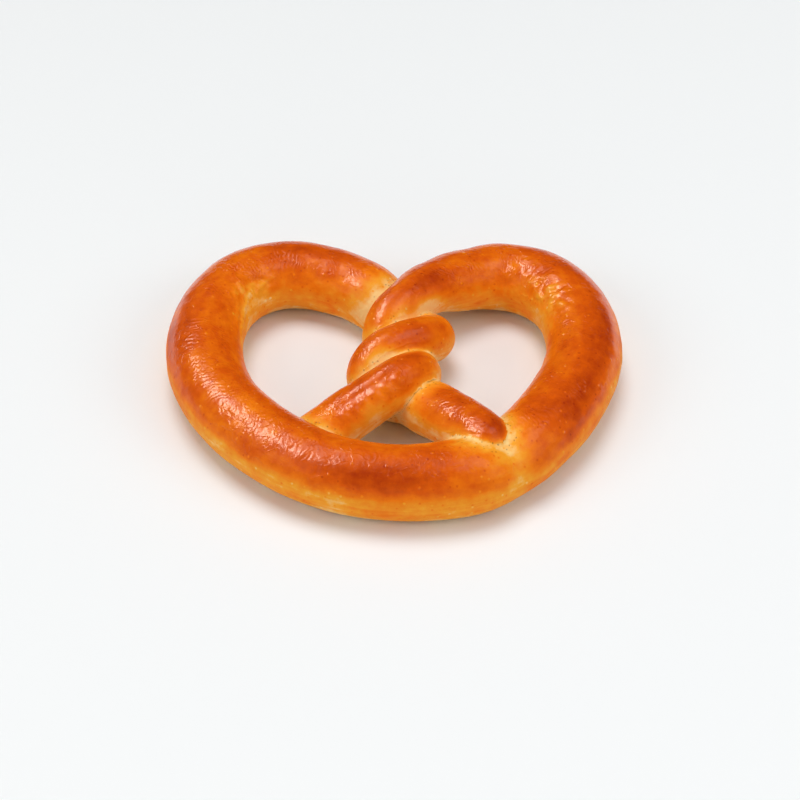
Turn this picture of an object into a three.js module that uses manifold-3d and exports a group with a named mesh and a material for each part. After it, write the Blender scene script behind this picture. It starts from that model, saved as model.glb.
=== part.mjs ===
// A soft pretzel: one rope of dough with two plump lobes, twisted one and a half turns in the middle,
// its thinner ends brought back to the belly. The left end is tucked against the belly's inner edge and
// the right end lies on top of it. Baking has fused the rope into one piece wherever it touches itself.
// Millimetres, +Z up, the belly towards -Y. It rests on the flat underside that the baking tray gives
// it, and the origin is in the middle of that underside's plane.
import * as THREE from "three";
import { mergeVertices } from "three/addons/utils/BufferGeometryUtils.js";
import Module from "manifold-3d";

// The rope of the two lobes and the belly.
const LOBE_WIDTH = 27;
const LOBE_HEIGHT = 25;
const LOBE_CENTRE = 10.8; // height of its widest level, so the tray cuts a flat under it

// The twist: two strands wound round an axis that wanders a little. Its plan places are at the three
// crossings and half-way between them.
const TWIST_AXIS = [
  [3.5, 28],
  [5.1, 15.5],
  [2.5, 5],
  [0, -4.5],
  [1.3, -14.6],
];
const TWIST_STEPS = 2; // points on each strand between two places on the axis
const TWIST_SPREAD = 8.4; // from the axis to a strand's centre, sideways
const TWIST_RISE = 5.6; // from the axis to a strand's centre, upwards
const TWIST_LEVEL = 12.9; // height of the axis
const STRAND_WIDTH = 16.2;
const STRAND_HEIGHT = 17;

// How finely the rope is faceted.
const AROUND = 28; // corners of a ring
const RINGS_PER_STATION = 4;
const TIP_RINGS = 4; // on each rounded tip

// The baking tray, whose top is at height 0.
const TRAY_SIDE = 400;
const TRAY_DEPTH = 40;

// A place on the rope's centreline: plan position, height of the centre, and the section's size there.
function station(x, y, z = LOBE_CENTRE, width = LOBE_WIDTH, height = LOBE_HEIGHT) {
  return { point: new THREE.Vector3(x, y, z), width, height };
}

// One strand through the twist, from the first crossing to the third. The strand whose sign is 1
// starts on top and turns to the left; the other starts underneath and turns to the right.
function twistStrand(sign) {
  const axis = new THREE.CatmullRomCurve3(TWIST_AXIS.map(([x, y]) => new THREE.Vector3(x, y, TWIST_LEVEL)));
  const steps = TWIST_STEPS * (TWIST_AXIS.length - 1);
  const stations = [];
  for (let i = 0; i <= steps; i++) {
    const turn = (i / TWIST_STEPS) * (Math.PI / 2);
    const { x, y, z } = axis.getPoint(i / steps);
    const aside = -sign * TWIST_SPREAD * Math.sin(turn);
    const above = sign * TWIST_RISE * Math.cos(turn);
    stations.push(station(x + aside, y, z + above, STRAND_WIDTH, STRAND_HEIGHT));
  }
  return stations;
}

// The right end, from its tip on top of the belly back to the twist, which it leaves just short of the
// third crossing.
const rightLeg = [
  station(34.9, -50.4, 18.2, 13, 12.5),
  station(28, -40, 17.8, 17.5, 16),
  station(20, -29.7, 14.3, 20, 18),
  station(12.5, -19.7, 10.8, 21, 18.5),
  station(5, -13, 9, 18.5, 17),
];

const leftLobe = [
  station(-10.5, 44.8, 10, 24.3, 23),
  station(-24, 52.5, 10.5, 25.5, 23.5),
  station(-39, 55.5, LOBE_CENTRE, 26.5, 24.5),
  station(-53, 50.5),
  station(-63, 37.5),
  station(-67.5, 12),
  station(-59.5, -16, LOBE_CENTRE, 26.5, 24.5),
  station(-41.8, -37.7, LOBE_CENTRE, 26, 24.5),
  station(-20.5, -51.7, LOBE_CENTRE, 26, 24.5),
];

const belly = [station(3.5, -56.5, LOBE_CENTRE, 26, 24.5)];

// It starts pressed down under the right end's tip.
const rightLobe = [
  station(24, -53.5),
  station(35.5, -46.5, 10, 26.5, 22.5),
  station(45.5, -37, LOBE_CENTRE, 26.5, 24.5),
  station(57.5, -19),
  station(67, 8),
  station(64, 34.5),
  station(53.5, 49),
  station(40, 54, LOBE_CENTRE, 26, 24),
  station(25, 48.5, 13.5, 23.5, 22),
  station(12.5, 39, 17, 20, 18.5),
];

// The left end, from the twist to its tip, which is sunk in the belly.
const leftLeg = [
  station(-6.5, -20, 16, 18, 17),
  station(-15, -24.5, 12.5, 18.5, 17),
  station(-23, -29.5, 9, 18.5, 17),
  station(-34, -38.5, 8.5, 17, 15),
];

const rope = [
  ...rightLeg,
  ...twistStrand(-1).slice(0, -1).reverse(),
  ...leftLobe,
  ...belly,
  ...rightLobe,
  ...twistStrand(1),
  ...leftLeg,
];

const centreline = new THREE.CatmullRomCurve3(rope.map((place) => place.point), false, "centripetal");

// The curve parameter of a station.
function parameterOf(place) {
  return rope.indexOf(place) / (rope.length - 1);
}

// The section's width or height at curve parameter t, eased between the stations on either side.
function sizeAt(t, name) {
  const place = t * (rope.length - 1);
  const before = Math.min(Math.floor(place), rope.length - 2);
  const share = THREE.MathUtils.smoothstep(place - before, 0, 1);
  return THREE.MathUtils.lerp(rope[before][name], rope[before + 1][name], share);
}

// The rings over a rounded tip of this radius, from the end inwards: each one's distance from the end
// and its share of the full section.
function tipRings(radius) {
  const rings = [];
  for (let i = 1; i <= TIP_RINGS; i++) {
    const angle = (i / (TIP_RINGS + 1)) * (Math.PI / 2);
    rings.push({ distance: radius * (1 - Math.cos(angle)), share: Math.sin(angle) });
  }
  return rings;
}

// All the rings along the rope: each one's curve parameter and its share of the full section.
function ringPlaces() {
  const length = centreline.getLength();
  const startRadius = rope[0].width / 2;
  const endRadius = rope.at(-1).width / 2;
  const parameterAt = (distance) => centreline.getUtoTmapping(distance / length);
  const places = [];
  for (const { distance, share } of tipRings(startRadius)) {
    places.push({ t: parameterAt(distance), share });
  }
  const steps = RINGS_PER_STATION * (rope.length - 1);
  for (let i = 0; i <= steps; i++) {
    const t = i / steps;
    if (t > parameterAt(startRadius) && t < parameterAt(length - endRadius)) {
      places.push({ t, share: 1 });
    }
  }
  for (const { distance, share } of tipRings(endRadius).reverse()) {
    places.push({ t: parameterAt(length - distance), share });
  }
  return places;
}

// The corners of one ring, in the plane square to the centreline.
function ringCorners({ t, share }) {
  const middle = centreline.getPoint(t);
  const along = centreline.getTangent(t);
  const side = new THREE.Vector3().crossVectors(along, new THREE.Vector3(0, 0, 1)).normalize();
  const up = new THREE.Vector3().crossVectors(side, along);
  const halfWidth = (share * sizeAt(t, "width")) / 2;
  const halfHeight = (share * sizeAt(t, "height")) / 2;
  const corners = [];
  for (let i = 0; i < AROUND; i++) {
    const angle = (i / AROUND) * 2 * Math.PI;
    const corner = middle.clone();
    corner.addScaledVector(side, halfWidth * Math.cos(angle));
    corner.addScaledVector(up, halfHeight * Math.sin(angle));
    corners.push(corner);
  }
  return corners;
}

// A closed skin over a stretch of rings, fanned shut to the centreline's points at its two ends.
function skin(places, start, end) {
  const corners = [centreline.getPoint(start), ...places.flatMap(ringCorners), centreline.getPoint(end)];
  const lastRing = places.length - 1;
  const corner = (ring, i) => 1 + ring * AROUND + (i % AROUND);
  const faces = [];
  for (let i = 0; i < AROUND; i++) {
    faces.push(0, corner(0, i), corner(0, i + 1));
    for (let ring = 0; ring < lastRing; ring++) {
      faces.push(corner(ring, i), corner(ring + 1, i), corner(ring + 1, i + 1));
      faces.push(corner(ring, i), corner(ring + 1, i + 1), corner(ring, i + 1));
    }
    faces.push(corners.length - 1, corner(lastRing, i + 1), corner(lastRing, i));
  }
  return new THREE.BufferGeometry().setFromPoints(corners).setIndex(faces);
}

const wasm = await Module();
wasm.setup();

// A closed geometry as a manifold-3d solid.
function solidOf(geometry) {
  const bare = geometry.clone();
  bare.deleteAttribute("normal");
  bare.deleteAttribute("uv");
  const merged = mergeVertices(bare);
  return new wasm.Manifold(
    new wasm.Mesh({
      numProp: 3,
      vertProperties: merged.getAttribute("position").array,
      triVerts: new Uint32Array(merged.getIndex().array),
    }),
  );
}

// A manifold-3d solid as a geometry.
function geometryOf(solid) {
  const { vertProperties, triVerts } = solid.getMesh();
  const geometry = new THREE.BufferGeometry();
  geometry.setAttribute("position", new THREE.BufferAttribute(vertProperties, 3));
  geometry.setIndex(new THREE.BufferAttribute(triVerts, 1));
  geometry.computeVertexNormals();
  return geometry;
}

// The rope crosses itself, so its skin is made in three stretches that don't, sharing a ring where they
// meet, which are then fused. The tray flattens the underside. The twist's strands touch all round a
// speck of space between them, which is dropped.
function fusedDough() {
  const places = ringPlaces();
  const bellyStart = places.findIndex(({ t }) => t >= parameterOf(leftLobe.at(-1)));
  const bellyEnd = places.findIndex(({ t }) => t >= parameterOf(rightLobe[0]));
  const leftPart = skin(places.slice(0, bellyStart + 1), 0, places[bellyStart].t);
  const bellyPart = skin(places.slice(bellyStart, bellyEnd + 1), places[bellyStart].t, places[bellyEnd].t);
  const rightPart = skin(places.slice(bellyEnd), places[bellyEnd].t, 1);
  const tray = new THREE.BoxGeometry(TRAY_SIDE, TRAY_SIDE, TRAY_DEPTH).translate(0, 0, -TRAY_DEPTH / 2);
  const fused = solidOf(leftPart).add(solidOf(bellyPart)).add(solidOf(rightPart));
  const bodies = fused.subtract(solidOf(tray)).decompose();
  return bodies.sort((a, b) => b.volume() - a.volume())[0];
}

const crust = new THREE.MeshStandardMaterial({ color: 0xc2661c, roughness: 0.4, metalness: 0 });
const pretzel = new THREE.Mesh(geometryOf(fusedDough()), crust);
pretzel.name = "pretzel";

export default new THREE.Group().add(pretzel);
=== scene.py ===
import math

import bpy
import numpy as np
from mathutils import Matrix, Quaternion, Vector, noise


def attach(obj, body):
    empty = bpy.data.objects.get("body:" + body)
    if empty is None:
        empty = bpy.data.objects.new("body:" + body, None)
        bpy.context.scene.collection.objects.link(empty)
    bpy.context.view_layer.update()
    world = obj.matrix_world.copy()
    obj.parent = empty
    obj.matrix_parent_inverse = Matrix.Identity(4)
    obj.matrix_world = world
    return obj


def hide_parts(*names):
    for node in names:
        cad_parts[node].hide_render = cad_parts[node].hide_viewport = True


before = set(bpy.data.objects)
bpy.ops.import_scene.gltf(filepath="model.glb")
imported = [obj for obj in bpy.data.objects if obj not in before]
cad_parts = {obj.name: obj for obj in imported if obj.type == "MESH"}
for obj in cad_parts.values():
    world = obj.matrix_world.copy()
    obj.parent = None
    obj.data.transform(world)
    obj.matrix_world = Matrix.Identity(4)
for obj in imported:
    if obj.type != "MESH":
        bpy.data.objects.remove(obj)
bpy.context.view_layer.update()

# ---------------------------------------------------------------------------------------------------
# The rope. One rope of dough, thick in the two lobes and the belly and thinner in its two ends, which
# are wound round each other and brought back to the belly. Its places are those of the solid: plan
# position, height of the middle, then the section's width and height, all in millimetres.
# ---------------------------------------------------------------------------------------------------
MM = 0.001
LOBE_WIDTH, LOBE_HEIGHT, LOBE_CENTRE = 27, 25, 10.8
STRAND_WIDTH, STRAND_HEIGHT = 16.2, 17
TWIST_AXIS = [(3.5, 28), (5.1, 15.5), (2.5, 5), (0, -4.5), (1.3, -14.6)]
TWIST_STEPS = 2  # stations to a quarter turn of the twist
TWIST_SPREAD, TWIST_RISE, TWIST_LEVEL = 8.4, 5.6, 12.9
SAMPLES_PER_STATION = 12


def station(x, y, z=LOBE_CENTRE, width=LOBE_WIDTH, height=LOBE_HEIGHT):
    return (x, y, z, width, height)


def smooth_route(points, steps):
    """The centripetal Catmull-Rom curve through the points, with this many steps from one to the next."""
    points = np.array(points, float)
    first, last = 2 * points[0] - points[1], 2 * points[-1] - points[-2]
    points = np.vstack([first, points, last])
    gap = np.diff(points, axis=0)
    pace = np.sqrt(np.linalg.norm(gap, axis=1))[:, None]
    before, here, after = pace[:-2], pace[1:-1], pace[2:]
    start, end = points[1:-2], points[2:-1]
    leave = (gap[:-2] / before - (end - points[:-3]) / (before + here) + gap[1:-1] / here) * here
    arrive = (gap[1:-1] / here - (points[3:] - start) / (here + after) + gap[2:] / after) * here
    u = (np.arange(steps) / steps)[:, None, None]
    bend = -3 * start + 3 * end - 2 * leave - arrive
    twist = 2 * start - 2 * end + leave + arrive
    samples = start + leave * u + bend * u**2 + twist * u**3
    return np.vstack([samples.transpose(1, 0, 2).reshape(-1, 3), points[-2]])


def twist_strand(sign):
    """One strand of the twist. That of sign 1 starts on top and turns left, the other the other way."""
    axis = smooth_route([(x, y, TWIST_LEVEL) for x, y in TWIST_AXIS], TWIST_STEPS)
    stations = []
    for i, (x, y, z) in enumerate(axis):
        turn = i / TWIST_STEPS * math.pi / 2
        aside = -sign * TWIST_SPREAD * math.sin(turn)
        above = sign * TWIST_RISE * math.cos(turn)
        stations.append(station(x + aside, y, z + above, STRAND_WIDTH, STRAND_HEIGHT))
    return stations


right_leg = [
    station(34.9, -50.4, 18.2, 13, 12.5),
    station(28, -40, 17.8, 17.5, 16),
    station(20, -29.7, 14.3, 20, 18),
    station(12.5, -19.7, 10.8, 21, 18.5),
    station(5, -13, 9, 18.5, 17),
]
left_lobe = [
    station(-10.5, 44.8, 10, 24.3, 23),
    station(-24, 52.5, 10.5, 25.5, 23.5),
    station(-39, 55.5, LOBE_CENTRE, 26.5, 24.5),
    station(-53, 50.5),
    station(-63, 37.5),
    station(-67.5, 12),
    station(-59.5, -16, LOBE_CENTRE, 26.5, 24.5),
    station(-41.8, -37.7, LOBE_CENTRE, 26, 24.5),
    station(-20.5, -51.7, LOBE_CENTRE, 26, 24.5),
]
belly = [station(3.5, -56.5, LOBE_CENTRE, 26, 24.5)]
right_lobe = [
    station(24, -53.5),
    station(35.5, -46.5, 10, 26.5, 22.5),
    station(45.5, -37, LOBE_CENTRE, 26.5, 24.5),
    station(57.5, -19),
    station(67, 8),
    station(64, 34.5),
    station(53.5, 49),
    station(40, 54, LOBE_CENTRE, 26, 24),
    station(25, 48.5, 13.5, 23.5, 22),
    station(12.5, 39, 17, 20, 18.5),
]
left_leg = [
    station(-6.5, -20, 16, 18, 17),
    station(-15, -24.5, 12.5, 18.5, 17),
    station(-23, -29.5, 9, 18.5, 17),
    station(-34, -38.5, 8.5, 17, 15),
]
rope = np.array(
    right_leg + twist_strand(-1)[-2::-1] + left_lobe + belly + right_lobe + twist_strand(1) + left_leg
)

# ---------------------------------------------------------------------------------------------------
# The dough's skin. Where the rope lies on itself the baking fuses it, with a small soft crease along
# the join. The skin starts from the solid and is drawn onto the rope's own smooth surface.
# ---------------------------------------------------------------------------------------------------
CREASE = 2.0  # how far the creases reach up the two strands that meet there
FOOT = 2.2  # the same for the rounded edge round the flat underside
OWN_LENGTH = 40  # along the rope, how far a place still counts as the same stretch
STRETCHES = 3  # as many stretches as meet in one place
FOOT_STEPS = 4
SKIN_CELL = 0.78
DRAWING_STEPS = 5
LONGEST_STEP = 1.5

# The columns of a sample: the middle and its height alone, the direction, half the section's width and
# height and half its width alone, the length along the rope, and the reach of the rounded end.
MIDDLE, LEVEL, WAY = slice(0, 3), 2, slice(3, 6)
HALF, HALF_WIDTH = slice(6, 8), 6
ALONG, TIP = 8, slice(9, 10)


def slide(a, b, share):
    return a + (b - a) * share


class Dough:
    """The rope's middle, sampled: places, directions, sizes, and lengths along it."""

    def __init__(self):
        middle = smooth_route(rope[:, :3], SAMPLES_PER_STATION)
        share = np.tile(np.arange(SAMPLES_PER_STATION) / SAMPLES_PER_STATION, len(rope) - 1)[:, None]
        share = share * share * (3 - 2 * share)
        before = np.repeat(rope[:-1, 3:], SAMPLES_PER_STATION, axis=0)
        after = np.repeat(rope[1:, 3:], SAMPLES_PER_STATION, axis=0)
        half = np.vstack([slide(before, after, share), rope[-1:, 3:]]) / 2
        along = np.concatenate([[0], np.cumsum(np.linalg.norm(np.diff(middle, axis=0), axis=1))])
        tip = np.where(along < along[-1] / 2, half[0, 0], half[-1, 0])
        kept = (along >= tip) & (along <= along[-1] - tip)
        self.samples = np.column_stack([middle, np.gradient(middle, axis=0), half, along, tip])[kept]

    def nearest(self, points):
        """For each point, the samples nearest to it on the stretches that pass it, nearest first."""
        points = points.astype(np.float32)
        middle = self.samples[:, MIDDLE].astype(np.float32)
        along = self.samples[:, ALONG].astype(np.float32)
        reach = (points**2).sum(1)[:, None] + (middle**2).sum(1) - 2 * points @ middle.T
        reach /= self.samples[:, HALF].prod(1).astype(np.float32)
        found = []
        for _ in range(STRETCHES):
            index = reach.argmin(1)
            found.append(index)
            reach[np.abs(along[index][:, None] - along) < OWN_LENGTH] = np.inf
        return np.stack(found, 1)

    def foot(self, points, index):
        """The rope's middle square to each point, starting from these samples."""
        last = len(self.samples) - 1
        at = index.astype(float)
        for _ in range(FOOT_STEPS):
            whole = np.clip(at.astype(int), 0, last - 1)
            here = slide(self.samples[whole], self.samples[whole + 1], (at - whole)[:, None])
            tangent = here[:, WAY]
            ahead = ((points - here[:, MIDDLE]) * tangent).sum(1) / (tangent**2).sum(1)
            at = np.clip(at + ahead, np.maximum(index - 1, 0), np.minimum(index + 1, last))
        return here

    def stretch(self, points, index):
        """For each point and the stretch at these samples: how far outside its skin the point is, the way
        out, the stretch's own sample there, and the place in its section, where 1 is the skin."""
        here = self.foot(points, index)
        middle, tangent, half, tip = here[:, MIDDLE], here[:, WAY], here[:, HALF], here[:, TIP]
        tangent = unit(tangent)
        side = unit(np.cross(tangent, (0, 0, 1)))
        axes = np.stack([side, np.cross(side, tangent), tangent], 1)
        sizes = np.column_stack([half, tip])
        offset = points - middle
        share = np.einsum("nij,nj->ni", axes, offset) / sizes
        reach = np.maximum(np.linalg.norm(share, axis=1), 1e-6)
        out = unit(np.einsum("nij,ni->nj", axes, share / sizes))
        return np.linalg.norm(offset, axis=1) * (1 - 1 / reach), out, here, share

    def skin(self, points, near):
        """For each point: how far outside the fused skin it is, the way out, how near and how far above
        the next stretch is, and the nearest stretch's sample and section place."""
        distance, out, here, share = self.stretch(points, near[:, 0])
        own = distance
        gap = np.full(len(points), np.inf)
        above = np.zeros(len(points))
        for index in near.T[1:]:
            other, other_out, there, _ = self.stretch(points, index)
            above = np.where(other - own < gap, there[:, LEVEL] - here[:, LEVEL], above)
            gap = np.minimum(gap, other - own)
            distance, out = blend_in(distance, out, other, other_out, CREASE, 1)
        down = np.tile((0.0, 0.0, -1.0), (len(points), 1))
        distance, out = blend_in(distance, out, -points[:, 2], down, FOOT, -1)
        return distance, out, gap, above, here, share


def unit(vectors):
    return vectors / np.maximum(np.linalg.norm(vectors, axis=1, keepdims=True), 1e-9)


def blend_in(distance, out, other, other_out, reach, sign):
    """Two skins as one with a soft edge: sign 1 joins them, sign -1 keeps what both hold."""
    share = np.clip(0.5 + 0.5 * sign * (other - distance) / reach, 0, 1)
    both = slide(other, distance, share) - sign * reach * share * (1 - share)
    return both, unit(slide(other_out, out, share[:, None]))


def nearest_stretches(points, size=4000):
    return np.concatenate([dough.nearest(points[i : i + size]) for i in range(0, len(points), size)])


dough = Dough()
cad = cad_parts["pretzel"]
pretzel = bpy.data.objects.new("baked_pretzel", cad.data.copy())
bpy.context.scene.collection.objects.link(pretzel)
remesh = pretzel.modifiers.new("fine skin", "REMESH")
remesh.mode = "VOXEL"
remesh.voxel_size = SKIN_CELL * MM
fine = bpy.data.meshes.new_from_object(pretzel.evaluated_get(bpy.context.evaluated_depsgraph_get()))
pretzel.modifiers.clear()
pretzel.data = fine
fine.materials.clear()

points = np.empty(len(fine.vertices) * 3, np.float32)
fine.vertices.foreach_get("co", points)
points = points.reshape(-1, 3).astype(float) / MM
near = nearest_stretches(points)
for _ in range(DRAWING_STEPS):
    distance, out, gap, above, here, share = dough.skin(points, near)
    points -= np.clip(distance, -LONGEST_STEP, LONGEST_STEP)[:, None] * out

# ---------------------------------------------------------------------------------------------------
# The skin's relief. Proving and baking leave low swells all over. Where the rope is bent hard its
# inside gathers in folds and crinkles, the left end has a groove beside a row of knobs, and the right
# end's tip pulls the belly in where it is pressed on.
# ---------------------------------------------------------------------------------------------------
SWELL, SWELL_LENGTH = 0.35, 18
DIMPLE, DIMPLE_LENGTH = 0.13, 4.5
CRINKLE, CRINKLE_LENGTH = 0.72, 3.4
BENDS = ((202, 16), (472, 20))  # along the rope: where it is bent hardest, and how far crinkles reach
BEND_SIDE = (-0.7, 0.5)  # the same round it, as angles from the top, in radians
LOBES = (118, 134, 522, 540)  # along the rope: the twist ends, the lobes' full thickness, and back
PINCH, PINCH_LENGTH, PINCH_DEPTH = 371, 5, 0.7
PINCH_SIDE = (-0.3, 0.3)  # how far up the skin faces where the pinch starts and is full
OFF_TRAY = (-0.9, -0.4)  # the same for all of the relief: none where the dough lay on the tray

# The left end's groove and knobs. They start, are full, fade and end at these lengths along the rope.
# The two rows are given as angles from the top and half widths, in radians.
KNOBS = (597, 602, 621, 626)
KNOB_ROW, GROOVE_ROW = (-0.64, 0.27), (-0.25, 0.2)
ONE_KNOB, KNOB_SPACING = 609.9, 4.1
KNOB, GROOVE = 0.4, 0.6
KNOB_RIDGE, KNOB_SWING = 0.6, 0.8  # the knobs stand on a low ridge: its share, and theirs

LIP, LIP_PLACE = 0.5, 1.9  # the lips beside a fold, as shares of its depth and its half width
FOLD_POINTS = 12
FOLD_END = 0.12  # a fold fades to its ends as half a wave does, cut off by this share at each end
STRETCHING = 0.5  # a ridge this high has its crust stretched pale

# Each fold: three places on the rope, each its length along it and its angle from the top, negative
# towards the middle of the pretzel, then the fold's depth and half width. A depth below 0 is a ridge.
FOLDS = [
    ((199, -50), (209, -69), (231, -79), -0.4, 0.9),
    ((204, -42), (213, -60), (226, -73), 0.35, 1.0),
    ((196, -60), (190, -55), (179, -48), -0.3, 0.9),
    ((196, -38), (191, -45), (184, -58), 0.3, 1.0),
    ((203, -77), (195, -80), (178, -93), -0.25, 0.9),
    ((206, -32), (209, -38), (211, -46), -0.25, 0.8),
    ((201, -28), (203, -36), (204, -44), -0.25, 0.8),
    ((477, -50), (477, -40), (476, -29), -0.35, 0.9),
    ((473, -48), (473, -36), (470, -26), 0.4, 1.1),
    ((471, -57), (466, -54), (462, -55), -0.4, 0.9),
    ((467, -38), (465, -31), (464, -21), -0.45, 1.0),
    ((456, -52), (461, -42), (460, -19), -0.45, 1.0),
    ((458, -46), (457, -34), (456, -24), 0.35, 1.0),
    ((455, -38), (454, -30), (450, -22), -0.35, 1.0),
    ((485, -38), (489, -35), (493, -31), -0.4, 1.9),
    ((482, -42), (482, -33), (481, -26), 0.3, 1.0),
    ((31, 40), (33, 20), (38, 4), -0.3, 0.8),
    ((30, 34), (32, 16), (36, 2), 0.25, 0.9),
]


def ease(values, low, high):
    share = np.clip((values - low) / (high - low), 0, 1)
    return share * share * (3 - 2 * share)


def within(along, start, full, fading, end):
    """1 on the stretch of rope from full to fading, and 0 outside start and end."""
    return ease(along, start, full) * (1 - ease(along, fading, end))


def bell(values, middle, reach):
    return np.exp(-(((values - middle) / reach) ** 2))


def waver(length, start=(0, 0, 0)):
    """For each point of the skin a chance value that changes smoothly over about this length."""
    return np.array([noise.noise(Vector(p) / length + Vector(start)) for p in points])


def fold_profile(along, aside, places, half):
    """At each place: how deep the fold is, with a lip on either side, and how far it stretches the crust."""
    (s0, a0), (s1, a1), (s2, a2) = places
    distance = np.full(len(along), np.inf)
    fade = np.zeros(len(along))
    for share in np.linspace(0, 1, FOLD_POINTS):
        weights = (1 - share) ** 2, 2 * share * (1 - share), share**2
        s = weights[0] * s0 + weights[1] * s1 + weights[2] * s2
        a = weights[0] * a0 + weights[1] * a1 + weights[2] * a2
        here = np.hypot(along - s, aside - math.radians(a) * LOBE_WIDTH / 2)
        closer = here < distance
        distance = np.where(closer, here, distance)
        fade = np.where(closer, math.sin(math.pi * (FOLD_END + (1 - 2 * FOLD_END) * share)), fade)
    across = distance / half
    depth = bell(across, 0, 1) - LIP * bell(across, LIP_PLACE, 1)
    return fade * depth, fade * bell(across, 0, 2)


near = nearest_stretches(points)
distance, out, gap, above, here, share = dough.skin(points, near)
along = here[:, ALONG]
around = np.arctan2(share[:, 0], share[:, 1])
aside = around * LOBE_WIDTH / 2
facing_up = out[:, 2]
in_lobe = within(along, *LOBES)
relief = SWELL * waver(SWELL_LENGTH) + DIMPLE * waver(DIMPLE_LENGTH)
crinkled = sum(bell(along, *bend) for bend in BENDS) * bell(around, *BEND_SIDE)
relief += CRINKLE * crinkled * waver(CRINKLE_LENGTH)

folded = np.zeros(len(points))
for *places, depth, half in FOLDS:
    profile, stretched = fold_profile(along, aside, places, half)
    relief -= depth * profile
    folded = np.maximum(folded, stretched * min(1, -depth / STRETCHING))

pinch = bell(along, PINCH, PINCH_LENGTH) * in_lobe
relief -= PINCH_DEPTH * pinch * ease(facing_up, *PINCH_SIDE)

knobs = KNOB_RIDGE + KNOB_SWING * np.cos(2 * math.pi * (along - ONE_KNOB) / KNOB_SPACING)
left_end = KNOB * bell(around, *KNOB_ROW) * knobs - GROOVE * bell(around, *GROOVE_ROW)
relief += within(along, *KNOBS) * left_end

points += (ease(facing_up, *OFF_TRAY) * relief)[:, None] * out
fine.vertices.foreach_set("co", (points * MM).astype(np.float32).ravel())
fine.shade_smooth()
fine.update()

# ---------------------------------------------------------------------------------------------------
# The crust. Brushed with egg and baked hot: a brown glaze on top, golden flanks, and pale soft dough
# where the rope met itself or the heat didn't reach. The dough is matt and the glaze shines, and on the
# tops it is drawn in fine ripples.
# ---------------------------------------------------------------------------------------------------
JOIN_REACH = (1.4, 4.8)  # how far from a join the dough stays pale, on the upper strand and the lower
JOIN_FADE = 1.3
SHELTER = (0.06, 0.34)  # how much less it is baked near a join, on the upper strand and the lower
SHELTER_REACH = 5
FARTHEST_GAP = 20  # gaps to the next stretch aren't told apart beyond this
PINCH_PALE, PINCH_PALE_SIDE = 0.24, (-0.2, 0.5)
FOLD_PALE = 0.22

# At a join, a strand is the upper one where the other one's middle is no more than this far above its
# own, and the lower one where it is at least this far above.
UPPER, LOWER = -2, 3

# How far up the skin faces where the low flank and the brown top start and are full, and how much the
# foot of either side is baked, with what its low flank and its top add. The edges waver a little.
LOW_FLANK = (-0.95, -0.1)
OUTER_TOP, INNER_TOP = (0.14, 0.55), (-0.1, 0.9)
OUTER_BAKED, INNER_BAKED = (0.12, 0.22, 0.28), (0.04, 0.28, 0.3)
EDGE_WAVER, EDGE_LENGTH, EDGE_START = 0.14, 11, (7, 3, 1)
INNER_SIDE = (-0.1, 0.75)  # how far a lobe faces the pretzel's middle where its inner side starts and is full
STRAND_INNER = 0.7  # how far the thin strands, sheltered on both sides, count as inner all round

# Where the oven browned the rope more than the rest, or less, and a few spots of painted light and shade:
# paler on a flank in shade and at an edge's sheen, darker where a highlight falls. Each gives the place's
# length along the rope, its angle from the top, how far it reaches along and across, and by how much.
BAKING_AND_LIGHT_SPOTS = [
    (8, 20, 9, 5, 0.22),
    (4, 0, 5, 7, 0.14),
    (18, -84, 15, 4, -0.3),
    (33, 8, 8, 12, 0.1),
    (34, -45, 8, 6, -0.14),
    (62, -10, 7, 6, -0.1),
    (66, -4, 7, 9, 0.1),
    (71, -8, 5, 4, 0.16),
    (62, 42, 5, 4, 0.2),
    (71, 24, 6, 4, -0.24),
    (76, 62, 7, 5, -0.36),
    (82, 34, 10, 5, 0.22),
    (124, 6, 10, 6, 0.2),
    (126, -32, 12, 10, -0.62),
    (163, 2, 14, 5, 0.14),
    (202, -68, 18, 9, -0.26),
    (222, 22, 10, 5, 0.08),
    (240, 42, 18, 6, 0.12),
    (275, -22, 14, 4, 0.13),
    (282, 0, 20, 5, -0.12),
    (318, 32, 24, 6, 0.1),
    (322, 84, 30, 5, -0.12),
    (328, 34, 15, 7, 0.2),
    (342, -46, 13, 6, -0.16),
    (364, -4, 12, 7, 0.18),
    (371, -20, 6, 6, 0.12),
    (394, 0, 14, 6, 0.16),
    (398, 50, 14, 7, 0.1),
    (425, 30, 24, 8, 0.24),
    (435, 64, 25, 5, -0.12),
    (452, 38, 14, 5, 0.12),
    (472, 18, 12, 5, 0.14),
    (455, 52, 16, 4, -0.12),
    (455, -66, 20, 9, -0.22),
    (531, -32, 10, 6, 0.2),
    (540, -90, 9, 6, -0.5),
    (540, -28, 7, 5, 0.16),
    (551, -45, 6, 5, -0.26),
    (551, -14, 6, 4, 0.12),
    (557, 4, 6, 5, 0.2),
    (584, -48, 8, 9, -0.26),
    (592, -8, 12, 5, 0.16),
    (606, -4, 10, 5, 0.12),
    (615, -68, 12, 5, -0.22),
    (628, 8, 7, 9, -0.08),
]


def baked_side(foot, flank, top, top_edge):
    return foot + flank * ease(wavering, *LOW_FLANK) + top * ease(wavering, *top_edge)


wavering = facing_up + EDGE_WAVER * waver(EDGE_LENGTH, EDGE_START)
inner = slide(STRAND_INNER, ease(-np.sin(around), *INNER_SIDE), in_lobe)
baked = slide(baked_side(*OUTER_BAKED, OUTER_TOP), baked_side(*INNER_BAKED, INNER_TOP), inner)
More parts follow.
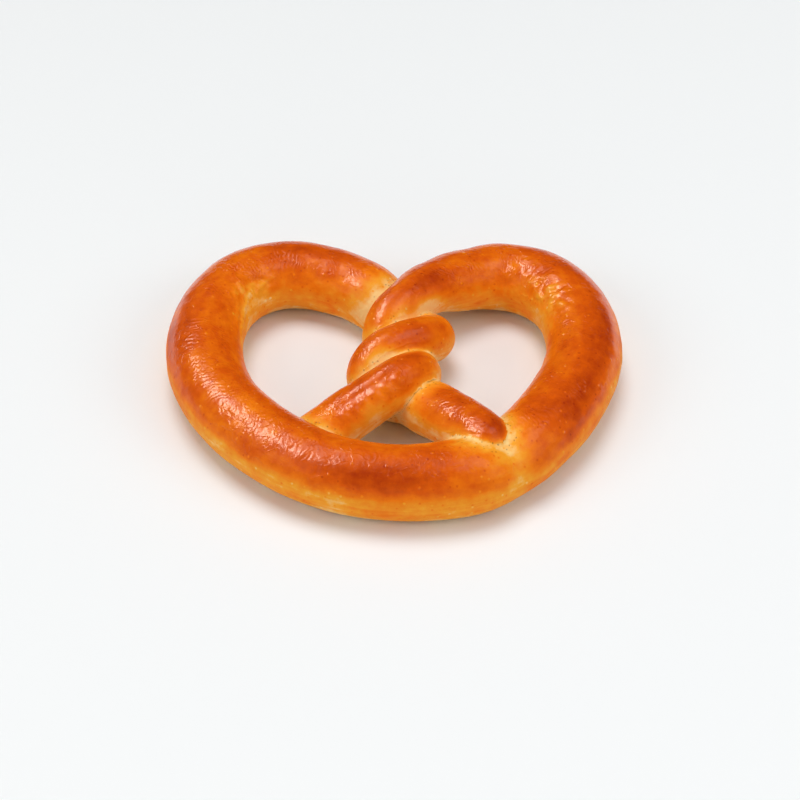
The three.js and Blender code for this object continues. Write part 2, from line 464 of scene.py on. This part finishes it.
# The spots add browning, and painted light and shade where they stand for it.
for length, angle, reach_along, reach_across, change in BAKING_AND_LIGHT_SPOTS:
    across = (around - math.radians(angle)) * here[:, HALF_WIDTH] / reach_across
    baked += change * np.exp(-(((along - length) / reach_along) ** 2) - across**2)
gap = np.maximum(gap, 0)
lower = ease(above, UPPER, LOWER)
baked -= PINCH_PALE * pinch * ease(facing_up, *PINCH_PALE_SIDE) + FOLD_PALE * folded
baked -= slide(*SHELTER, lower) * np.exp(-gap / SHELTER_REACH)

marks = {
    "baked": baked,
    "joined": np.exp(-((gap / slide(*JOIN_REACH, lower)) ** JOIN_FADE)),
    "crinkled": crinkled,
    "gap": np.minimum(gap, FARTHEST_GAP),
    "along": along,
    "aside": around * here[:, HALF_WIDTH],
    "up": facing_up,
}
for name, values in marks.items():
    layer = fine.attributes.new(name, "FLOAT", "POINT")
    layer.data.foreach_set("value", values.astype(np.float32))


class Paint:
    """An output socket of a shader node. Sums on it add Math nodes, and node() adds any other."""

    def __init__(self, tree, socket=None):
        self.tree = tree
        self.socket = socket

    def feed(self, socket, value):
        if isinstance(value, Paint):
            self.tree.links.new(value.socket, socket)
        else:
            socket.default_value = value

    def node(self, kind, settings=None, sockets=None, output=0):
        made = self.tree.nodes.new(kind)
        for name, setting in (settings or {}).items():
            if name == "stops":
                ramp = made.color_ramp.elements
                ramp.remove(ramp[1])
                ramp[0].position = setting[0][0]
                for position, _ in setting[1:]:
                    ramp.new(position)
                for stop, (_, colour) in zip(ramp, setting):
                    stop.color = (*colour, 1)
            else:
                setattr(made, name, setting)
        for name, value in (sockets or {}).items():
            self.feed(made.inputs[name], value)
        return Paint(self.tree, made.outputs[output] if len(made.outputs) else None)

    def math(self, operation, *values):
        return self.node("ShaderNodeMath", {"operation": operation}, dict(enumerate(values)))

    def __add__(self, other):
        return self.math("ADD", self, other)

    __radd__ = __add__

    def __sub__(self, other):
        return self.math("SUBTRACT", self, other)

    def __rsub__(self, other):
        return self.math("SUBTRACT", other, self)

    def __mul__(self, other):
        return self.math("MULTIPLY", self, other)

    __rmul__ = __mul__

    def __truediv__(self, other):
        return self.math("DIVIDE", self, other)

    def __rtruediv__(self, other):
        return self.math("DIVIDE", other, self)

    def ease(self, low, high):
        """0 where this is at low, 1 at high, and smooth between."""
        ends = {"Value": self, "From Min": low, "From Max": high}
        return self.node("ShaderNodeMapRange", {"interpolation_type": "SMOOTHSTEP"}, ends)

    def mix(self, colour, other, blend="MIX"):
        """The first colour where this is 0, the other where it is 1."""
        settings = {"data_type": "RGBA", "blend_type": blend}
        return self.node("ShaderNodeMix", settings, {0: self, 6: colour, 7: other}, 2)

    def attribute(self, name):
        return self.node("ShaderNodeAttribute", {"attribute_name": name}, output="Fac")

    def noise(self, place, scale, detail=2.0, roughness=0.5):
        """Chance values round 0.5, so many to the metre, or to the millimetre on places along the rope."""
        sockets = {"Vector": place, "Scale": scale, "Detail": detail, "Roughness": roughness}
        return self.node("ShaderNodeTexNoise", {}, sockets)

    def dots(self, place, scale, reach):
        """1 in the middle of scattered round spots, 0 outside this share of their spacing."""
        cells = self.node("ShaderNodeTexVoronoi", {}, {"Vector": place, "Scale": scale})
        return cells.ease(reach, reach * 0.3)


def linear(red, green, blue):
    """A colour given as it looks, 0 to 255, in the renderer's linear light."""
    shares = (red / 255, green / 255, blue / 255)
    return tuple(c / 12.92 if c <= 0.04045 else ((c + 0.055) / 1.055) ** 2.4 for c in shares)


CREAM = linear(253, 212, 138)
GOLDEN = linear(248, 164, 42)
ORANGE = linear(242, 122, 8)
BROWN = linear(218, 88, 3)
DARK = linear(170, 50, 2)
# Dark brown for the pits and cracks in the joins: painted shade.
SEAM_SHADE = linear(112, 46, 8)

RIPPLE = 1.9  # from one ripple of the glaze to the next
RIPPLE_ROW, ROW_WAVER = 2.9, 6  # the ripples are short arcs, in rows this wide that wander this much
RIPPLE_ARC, RIPPLE_SHIFT = 1.3, 2  # how bent the arcs are, and how far one row's are from the next row's
RIPPLE_WARP, RIPPLE_WAVER = 26, 5
RIPPLED = ((-1, 0, 24, 36), (232, 256, 296, 325))  # along the rope: where ripples are sure to be
# Next: where the joins are cracked, their dark painted as shade down in the join.
SHADED_CRACKS = ((30, 40, 64, 74), (560, 575, 600, 612))  # along the rope: where the joins are cracked
RIM, RIM_WAVER, RIM_WIDTH = 4.2, 3, 0.35  # a low rim of glaze, this far from a join
GLOSS = (0.26, 0.8)  # how far up the skin faces where the gloss starts and is full

crust = bpy.data.materials.new("glazed crust")
crust.use_nodes = True
crust.node_tree.nodes.clear()
paint = Paint(crust.node_tree)
place = paint.node("ShaderNodeTexCoord", output="Object")
baked, joined, crinkled, gap = (paint.attribute(name) for name in ("baked", "joined", "crinkled", "gap"))
along, aside, up = (paint.attribute(name) for name in ("along", "aside", "up"))


def drawn_out(share):
    """Places on the rope, shortened to this share lengthwise, so that marks on them come out long."""
    return paint.node("ShaderNodeCombineXYZ", {}, {"X": along * share, "Y": aside, "Z": up * 3})


def on_stretches(stretches):
    """1 on stretches of the rope, each given by where it starts, is full, fades and ends."""
    return sum(along.ease(start, full) - along.ease(fading, end) for start, full, fading, end in stretches)


def threads(scale, thinness):
    """1 along the middles of thin wandering threads, so many to the metre, and 0 beside them."""
    return (1 - paint.math("ABSOLUTE", paint.noise(place, scale, 1) - 0.5) * 2).ease(thinness, 1.0)


# How much each place is baked, with the mesh's spots of painted light and shade: the oven's large patches,
# and marks that get finer and finer. The joins are paler, in measure with how brown they would be, and so are
# patches in the crinkles.
blotch = paint.noise(place, 48, 4, 0.6)
streak = paint.noise(drawn_out(0.35), 0.22, 3, 0.55)
mottle = paint.noise(place, 300, 3, 0.6)
cloud = paint.noise(place, 120, 4, 0.65)
speck = paint.dots(place, 330, 0.2)
blister = paint.dots(place, 230, 0.17)
grain = paint.noise(drawn_out(0.12), 0.9, 2, 0.5)
flank = 1 - up.ease(-0.2, 0.5)
bake_and_light = baked
for mark, weight in ((blotch, 0.45), (streak, 0.36), (mottle, 0.3), (cloud, 0.4)):
    bake_and_light = bake_and_light + (mark - 0.5) * weight
bake_and_light = bake_and_light + speck * 0.16 - blister * 0.18
bake_and_light = bake_and_light + (grain - 0.5) * flank * 0.3 - joined * (0.1 + baked * 0.6)
# The pale patches in the crinkles are partly stretched dough and partly painted highlights on the crinkles.
bake_and_light = bake_and_light - crinkled * (paint.noise(place, 190, 2).ease(0.4, 0.62) * 0.18 - 0.06)
stops = [(0.0, CREAM), (0.2, GOLDEN), (0.44, ORANGE), (0.68, BROWN), (1.0, DARK)]
colour = paint.node("ShaderNodeValToRGB", {"stops": stops}, {"Fac": bake_and_light})

# The ripples of the glaze, as arcs in wandering rows along the rope, on patches of the tops.
top = up.ease(0.6, 0.9) * (1 - joined)
patch = paint.noise(place, 120, 2).ease(0.44, 0.64)
patch = paint.math("MAXIMUM", patch, on_stretches(RIPPLED) * 0.8)
rows = aside / RIPPLE_ROW + paint.noise(place, 80, 1) * ROW_WAVER
off_row = (paint.math("FRACT", rows) - 0.5) * RIPPLE_ROW
phase = along * (2 * math.pi / RIPPLE) + off_row * off_row * RIPPLE_ARC
phase = phase + paint.math("FLOOR", rows) * RIPPLE_SHIFT
phase = phase + paint.noise(place, 95, 2) * RIPPLE_WARP + paint.noise(place, 260, 1) * RIPPLE_WAVER
ripple = paint.math("SINE", phase) * patch * top

# The rest of the relief that is too fine for the mesh, and how high each mark stands, in millimetres.
pebble = paint.noise(place, 420, 3, 0.6)
lump = paint.noise(place, 230, 2)
pit = paint.dots(place, 620, 0.3) * joined.ease(0.3, 0.7)
off_rim = (gap + paint.noise(place, 130, 2) * RIM_WAVER - RIM) / RIM_WIDTH
rim = paint.math("EXPONENT", off_rim * off_rim * -1) * (1 - paint.noise(place, 60, 1).ease(0.4, 0.6))
crinkle = threads(130, 0.86) * crinkled
flake = threads(210, 0.92) * paint.noise(place, 75, 1).ease(0.5, 0.62) * up.ease(-0.2, 0.3)
heights = (
    (ripple, 0.036),
    (pebble, 0.12),
    (lump, 0.26),
    (blister, 0.12),
    (pit, -0.12),
    (crinkle, 0.16),
    (rim, 0.08),
    (flake, 0.07),
)
height = sum(mark * rise for mark, rise in heights)
bump = paint.node("ShaderNodeBump", {}, {"Height": height, "Strength": 1.0, "Distance": MM})

# Pits along the joins and cracks in those of the twist, painted dark: the pits are also sunk in the relief,
# and the dark of both is painted shade down in the joins.
crack_shade = joined.ease(0.85, 1.0) * paint.noise(place, 110, 1).ease(0.46, 0.6) * on_stretches(SHADED_CRACKS)
colour = paint.math("MAXIMUM", pit * 0.5, crack_shade * 0.5).mix(colour, (*SEAM_SHADE, 1))

dough_look = {"Base Color": colour, "Roughness": 0.55, "Normal": bump, "Specular IOR Level": 0.12}
glaze_look = {"Base Color": colour, "Roughness": 0.18 + mottle * 0.08, "Normal": bump, "IOR": 1.48}
bare = paint.node("ShaderNodeBsdfPrincipled", {}, dough_look)
glazed = paint.node("ShaderNodeBsdfPrincipled", {}, glaze_look)
glaze = up.ease(*GLOSS) * (1 - joined * 0.8)
shader = paint.node("ShaderNodeMixShader", {}, {0: glaze, 1: bare, 2: glazed})
paint.node("ShaderNodeOutputMaterial", {}, {"Surface": shader})
fine.materials.append(crust)

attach(pretzel, "root")
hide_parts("pretzel")

# ---------------------------------------------------------------------------------------------------
# The floor. A wide sheet of matt paper, nearly white, laid flat under the pretzel. It reaches so far out
# that its edge is seen only from very low down.
# ---------------------------------------------------------------------------------------------------
FLOOR_HALF = 12.0
FLOOR_COLOUR = (0.883, 0.9, 0.905, 1)
FLOOR_CORNERS = ((-1, -1), (1, -1), (1, 1), (-1, 1))
floor_mesh = bpy.data.meshes.new("floor")
corners = [(x * FLOOR_HALF, y * FLOOR_HALF, 0) for x, y in FLOOR_CORNERS]
floor_mesh.from_pydata(corners, [], [(0, 1, 2, 3)])
floor = bpy.data.objects.new("floor", floor_mesh)
bpy.context.scene.collection.objects.link(floor)
paper = bpy.data.materials.new("white paper")
paper.use_nodes = True
paper_look = paper.node_tree.nodes["Principled BSDF"].inputs
paper_look["Base Color"].default_value = FLOOR_COLOUR
paper_look["Roughness"].default_value = 0.8
floor_mesh.materials.append(paper)

# ---------------------------------------------------------------------------------------------------
# The light. Two warm soft boxes high at the back left show only as the gloss on the glaze. A broad
# lamp overhead, three low boxes and the pale room light the dough and aren't seen in the gloss. A soft
# box high at the right does both.
# ---------------------------------------------------------------------------------------------------
WARM = (1, 0.97, 0.84)
BOX_DISTANCE = 1.6
BOX_ROLL = 20  # how far the main boxes are turned about the line to the pretzel, in degrees
OVERHEAD_POWER, OVERHEAD_ANGLE = 1.54, 34  # the angle is how broad the lamp looks, in degrees
ROOM_LIGHT = 0.26


def soft_box(name, place, width, height, power, roll=0):
    lamp = bpy.data.lights.new(name, "AREA")
    lamp.shape = "RECTANGLE"
    lamp.size = width
    lamp.size_y = height
    lamp.energy = power
    holder = bpy.data.objects.new(name, lamp)
    holder.location = place
    turned = (-Vector(place)).to_track_quat("-Z", "Y") @ Quaternion((0, 0, 1), math.radians(roll))
    holder.rotation_euler = turned.to_euler()
    bpy.context.scene.collection.objects.link(holder)
    return holder


def aimed(azimuth, elevation, distance=BOX_DISTANCE):
    """A place round the object: azimuth from straight behind it towards the right, in degrees."""
    turn, rise = math.radians(azimuth), math.radians(elevation)
    flat = distance * math.cos(rise)
    return (flat * math.sin(turn), flat * math.cos(turn), distance * math.sin(rise))


gloss_boxes = [
    soft_box("main", aimed(-66, 52), 1.0, 0.42, 14, BOX_ROLL),
    soft_box("main's pale edge", aimed(-50, 61), 1.1, 0.6, 4, BOX_ROLL),
]
for box in gloss_boxes:
    box.visible_diffuse = False
    box.data.color = WARM
soft_box("side", aimed(85, 67), 0.8, 0.7, 2)

overhead = bpy.data.lights.new("overhead", "SUN")
overhead.energy = OVERHEAD_POWER
overhead.angle = math.radians(OVERHEAD_ANGLE)
broad_lamp = bpy.data.objects.new("overhead", overhead)
broad_lamp.rotation_euler = (-Vector(aimed(-20, 74))).to_track_quat("-Z", "Y").to_euler()
bpy.context.scene.collection.objects.link(broad_lamp)
fills = [
    broad_lamp,
    soft_box("left fill", aimed(-112, 34), 0.9, 0.8, 5.5),
    soft_box("right fill", aimed(108, 34), 0.9, 0.8, 5.5),
    soft_box("front fill", aimed(180, 14, 1.8), 1.8, 0.4, 4),
]
for fill in fills:
    fill.visible_glossy = False

room = bpy.data.worlds.new("room")
room.use_nodes = True
room.node_tree.nodes["Background"].inputs["Color"].default_value = (1, 1, 1, 1)
room.node_tree.nodes["Background"].inputs["Strength"].default_value = ROOM_LIGHT
room.cycles_visibility.glossy = False
bpy.context.scene.world = room
bpy.context.scene.view_settings.view_transform = "Standard"

# ---------------------------------------------------------------------------------------------------
# The camera. A long lens on a tall stand in front of the belly, looking down on the pretzel as someone
# at the table does.
# ---------------------------------------------------------------------------------------------------
TARGET = Vector((0.002, -0.003, 0))
TILT = math.radians(41.2)
DISTANCE = 0.666
lens = bpy.data.cameras.new("camera")
lens.lens = 85
lens.sensor_width = 36
camera = bpy.data.objects.new("camera", lens)
camera.location = TARGET + DISTANCE * Vector((0, -math.cos(TILT), math.sin(TILT)))
camera.rotation_euler = (math.pi / 2 - TILT, 0, 0)
bpy.context.scene.collection.objects.link(camera)
bpy.context.scene.camera = camera
